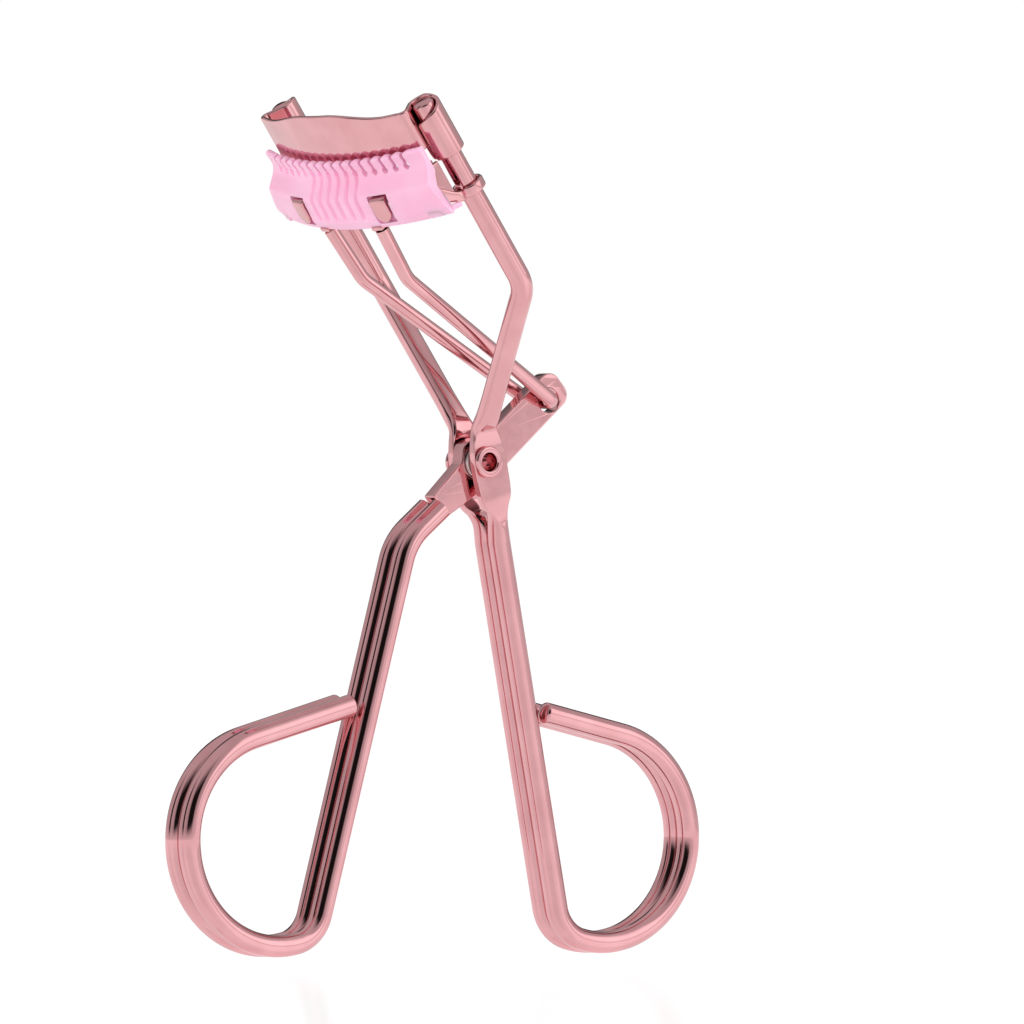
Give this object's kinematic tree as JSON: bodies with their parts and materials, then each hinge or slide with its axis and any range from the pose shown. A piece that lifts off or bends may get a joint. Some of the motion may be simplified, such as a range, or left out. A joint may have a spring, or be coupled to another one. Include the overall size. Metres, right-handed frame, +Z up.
{
  "type": "eyelash curler",
  "caption": "Polished wire eyelash curler with scissor finger loops, a curved upper jaw, a sliding lower jaw with a silicone pad, and a clip-on plastic lash comb.",
  "frame": {"origin": "centre of the tool's outline on the surface that its two finger loops stand on", "axes": "+Z up from the finger loops to the jaws, +X towards the finger loop of the fixed handle, +Y across the jaws to the far post"},
  "size_m": [0.0782, 0.0352, 0.1075],
  "materials": {
    "rose_metal": "mirror-polished rose-gold plating on steel",
    "washer_metal": "plain steel",
    "comb_plastic": "satin moulded plastic, pastel pink",
    "pad_silicone": "soft matt silicone"
  },
  "bodies": {
    "fixed_frame": {"frame_wire_near": "rose_metal", "frame_wire_far": "rose_metal", "upper_jaw": "rose_metal", "pivot_rivet": "rose_metal", "washer_near": "washer_metal", "washer_far": "washer_metal"},
    "squeeze_lever": {"lever_plate": "rose_metal", "lever_wire_near": "rose_metal", "lever_wire_far": "rose_metal"},
    "sliding_jaw": {"lower_jaw": "rose_metal", "silicone_pad": "pad_silicone", "lash_comb": "comb_plastic", "link_wire": "rose_metal"}
  },
  "joints": [
    {"name": "handle_squeeze", "type": "hinge", "parent": "fixed_frame", "child": "squeeze_lever", "pos_m": [0.0061, 0, 0.06149], "axis": [0, -1, 0], "range_deg": [-20, 7.5]},
    {"name": "jaw_slide", "type": "slide", "parent": "fixed_frame", "child": "sliding_jaw", "axis": [-0.5635, 0, 0.8261], "range_m": [-0.0046, 0.00175]}
  ],
  "couplings": [
    {"joint": "jaw_slide", "follows": "handle_squeeze", "m_per_rad": 0.013}
  ]
}
